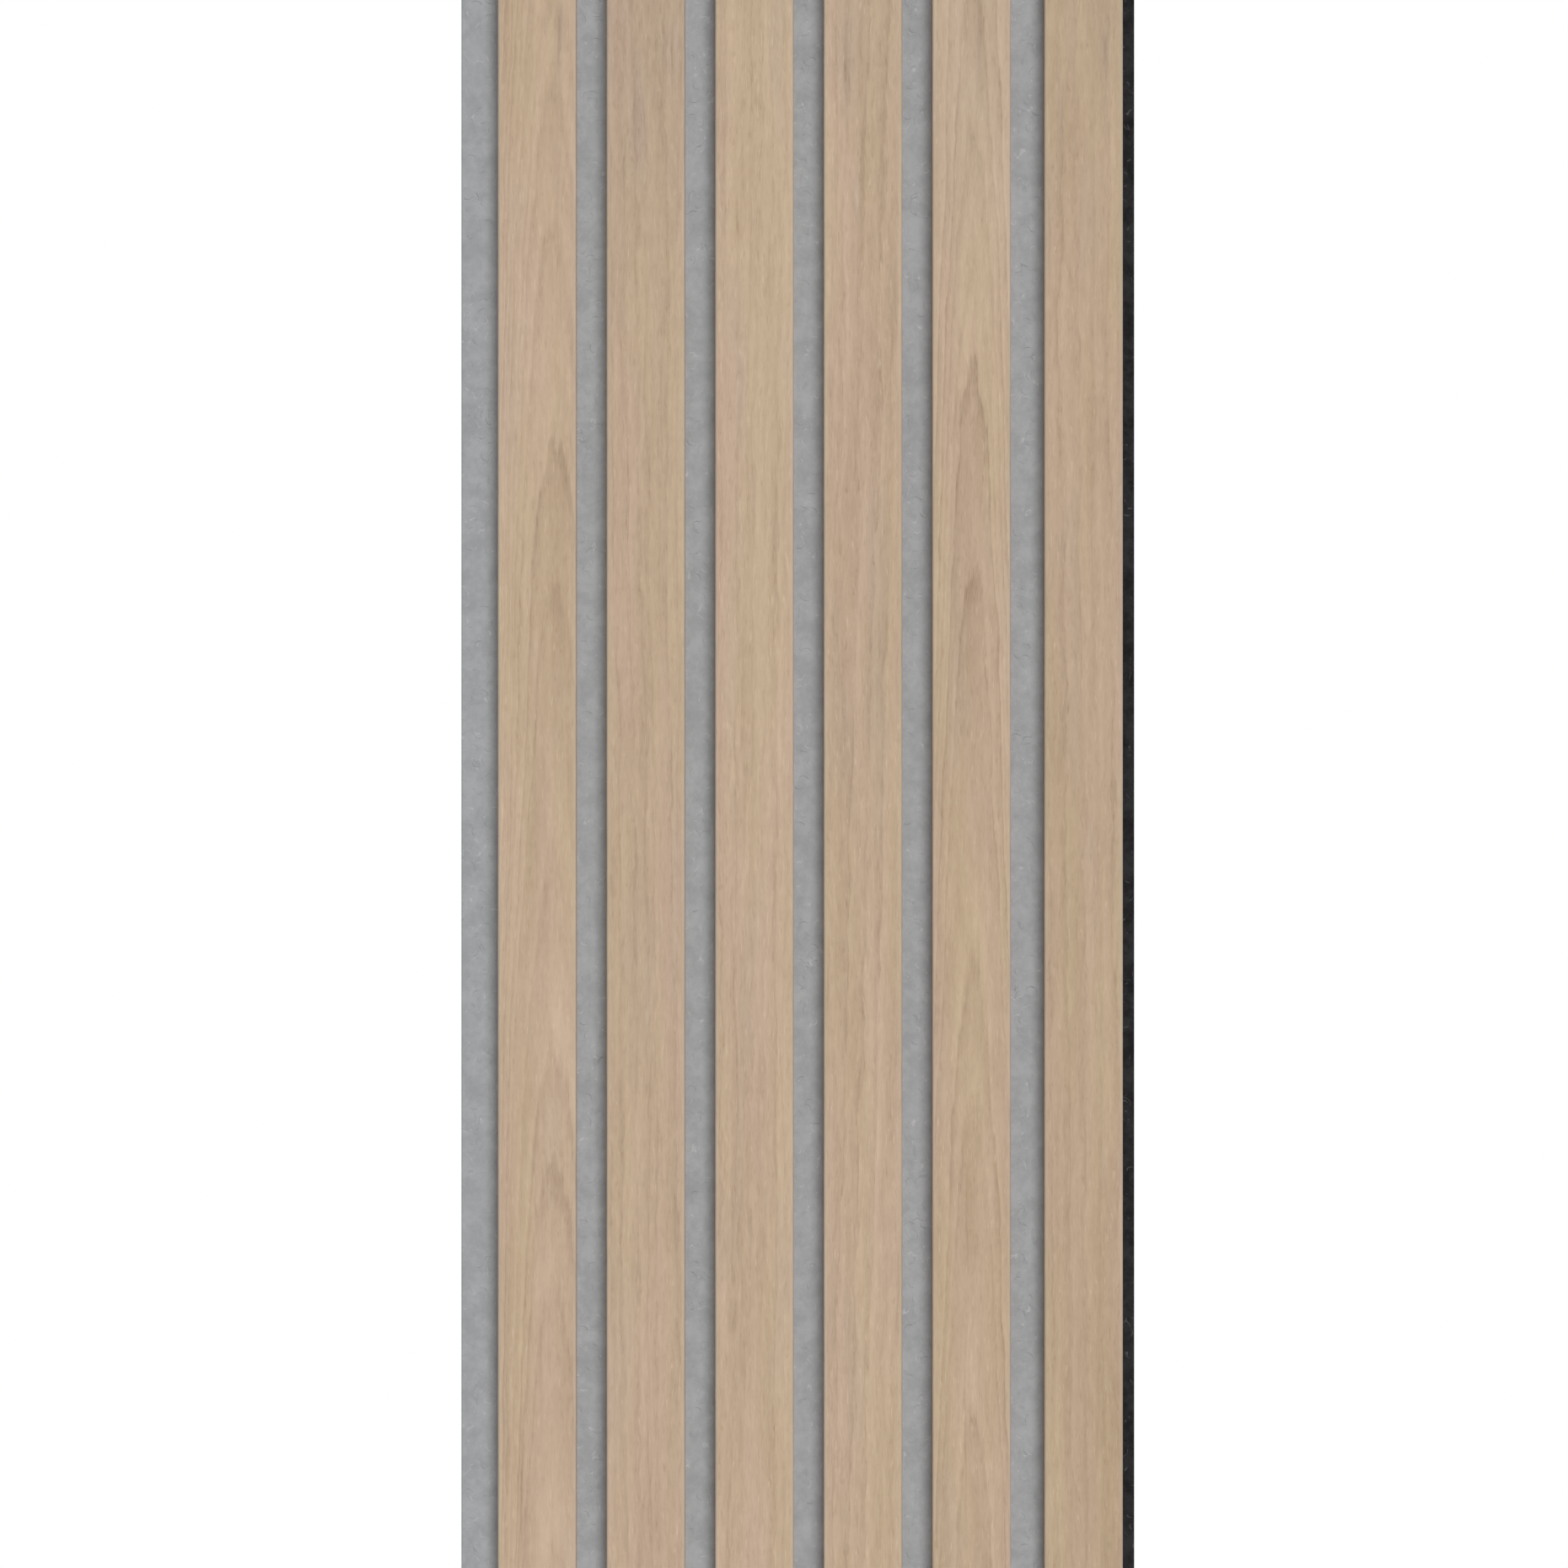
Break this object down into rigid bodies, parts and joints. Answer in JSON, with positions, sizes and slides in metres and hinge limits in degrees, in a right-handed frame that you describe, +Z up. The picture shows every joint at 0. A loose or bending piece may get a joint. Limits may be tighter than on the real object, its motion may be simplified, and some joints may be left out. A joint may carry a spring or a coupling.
{
  "type": "acoustic panel",
  "caption": "Slatted acoustic wall panel: oak-veneered slats stapled to a two-ply felt back, with open grooves between the slats that let sound reach the felt.",
  "frame": {"origin": "middle of the flat back face that lies against the wall, half way up the panel", "axes": "+Z up along the slats, +Y out of the back into the wall, +X to the right as seen from the room"},
  "size_m": [0.3, 0.021, 2.4],
  "materials": {
    "black_felt": "matt needled felt",
    "grey_felt": "matt needled felt",
    "staple_wire": "galvanised",
    "dark_fibreboard": "sawn, dyed through",
    "oak_veneer": "matt oil"
  },
  "bodies": {
    "root": {"backing_board": "black_felt", "felt_facing": "grey_felt", "staples": "staple_wire", "slat_core_1": "dark_fibreboard", "slat_core_2": "dark_fibreboard", "slat_core_3": "dark_fibreboard", "slat_core_4": "dark_fibreboard", "slat_core_5": "dark_fibreboard", "slat_core_6": "dark_fibreboard", "slat_veneer_1": "oak_veneer", "slat_veneer_2": "oak_veneer", "slat_veneer_3": "oak_veneer", "slat_veneer_4": "oak_veneer", "slat_veneer_5": "oak_veneer", "slat_veneer_6": "oak_veneer"}
  },
  "joints": []
}
